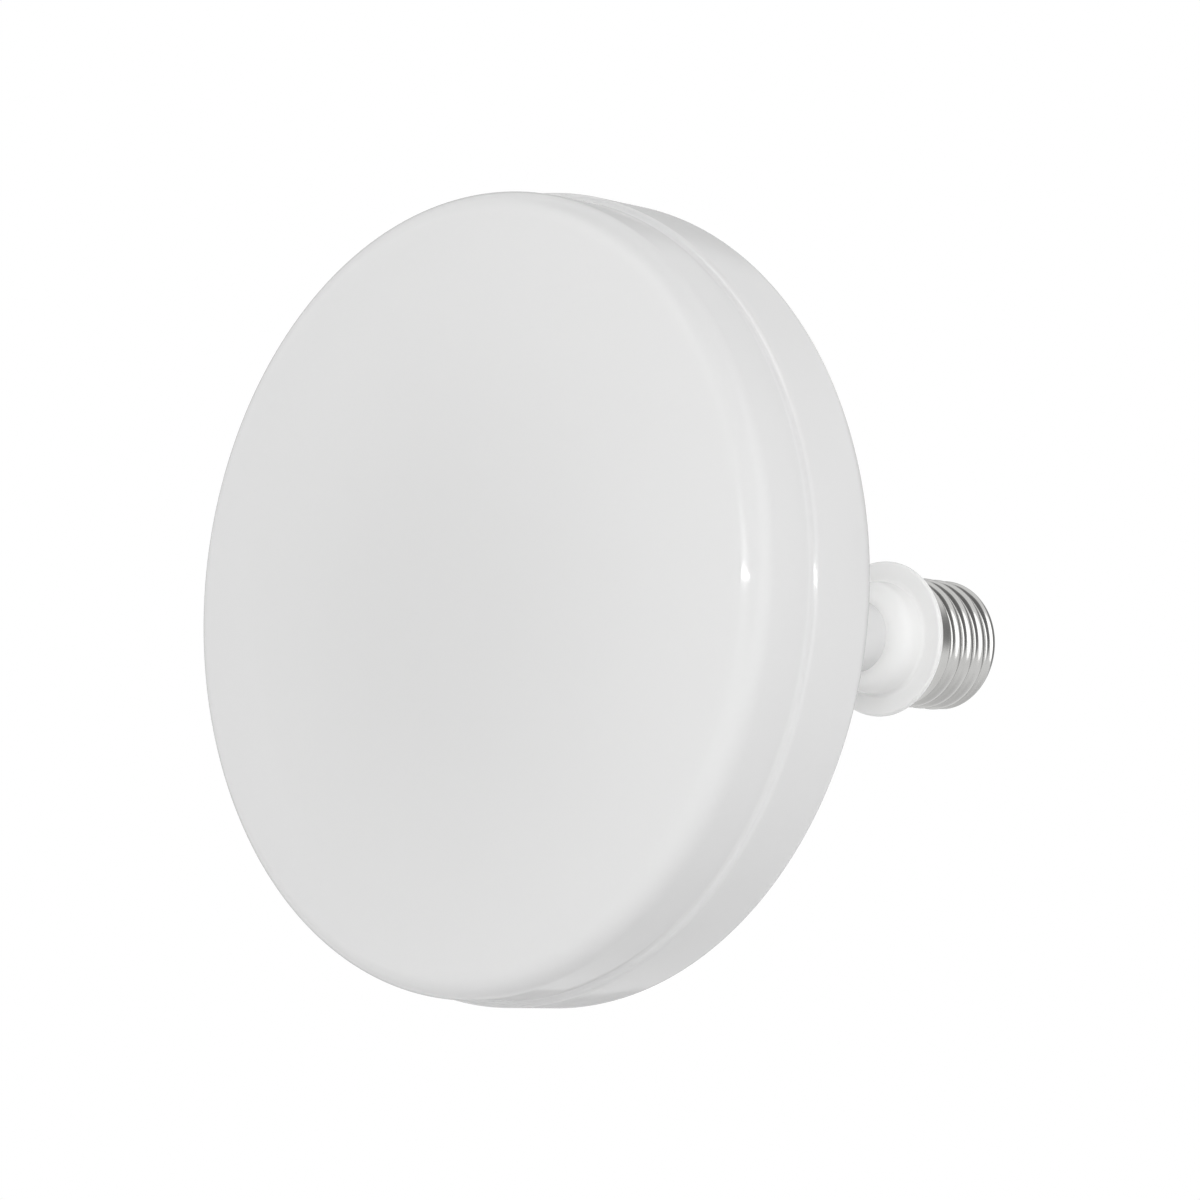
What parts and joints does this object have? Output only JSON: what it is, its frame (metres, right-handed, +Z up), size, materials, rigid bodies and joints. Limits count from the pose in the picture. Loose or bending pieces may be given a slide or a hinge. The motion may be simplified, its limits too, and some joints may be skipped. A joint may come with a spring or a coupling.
{
  "type": "foldable led bulb",
  "caption": "Flat round LED bulb with an opal face, whose head folds on a hinged neck above a metal Edison screw cap.",
  "frame": {"origin": "on the cap's axis, on the rear face of the collar's flange, where the screw cap seats", "axes": "+Y along the cap's axis towards its tip, so the lit face looks to -Y; +Z up; X is along the fold axis"},
  "size_m": [0.1476, 0.1494, 0.1476],
  "materials": {
    "opal_cover": "opal, satin",
    "white_housing": "moulded, semi-gloss",
    "white_collar": "moulded, semi-gloss",
    "nickel_shell": "nickel plated, drawn and rolled",
    "insulator_black": "moulded",
    "contact_brass": "stamped",
    "zinc_steel": "zinc plated",
    "washer_plastic": "plain",
    "sink_aluminium": "stamped",
    "board_white": "white solder mask",
    "chip_yellow": "phosphor",
    "board_green": "solder mask",
    "can_black": "sleeve",
    "ferrite": "ferrite and tape",
    "case_black": "moulded",
    "resistor_body": "lacquer",
    "wire_cover": "insulation",
    "lead_cover": "sheath",
    "grommet_rubber": "moulded"
  },
  "bodies": {
    "cap_and_neck": {"neck_arm": "white_housing", "hinge_screws": "zinc_steel", "hinge_nuts": "zinc_steel", "hinge_washers": "washer_plastic", "cap_collar": "white_collar", "screw_shell": "nickel_shell", "cap_insulator": "insulator_black", "centre_contact": "contact_brass", "live_wire": "wire_cover", "neutral_wire": "wire_cover"},
    "head": {"diffuser": "opal_cover", "rear_housing": "white_housing", "hinge_turret": "white_housing", "turret_screws": "zinc_steel", "heat_sink": "sink_aluminium", "led_board": "board_white", "led_chips": "chip_yellow", "board_screws": "zinc_steel", "driver_board": "board_green", "capacitors": "can_black", "transformer": "ferrite", "rectifier": "case_black", "driver_chip": "case_black", "fuse_resistor": "resistor_body", "led_leads": "wire_cover", "lead_grommet": "grommet_rubber", "supply_lead": "lead_cover"}
  },
  "joints": [
    {"name": "fold", "type": "hinge", "parent": "cap_and_neck", "child": "head", "pos_m": [0, -0.0463, 0], "axis": [1, 0, 0], "range_deg": [-90, 90], "deforming": ["supply_lead"]}
  ]
}
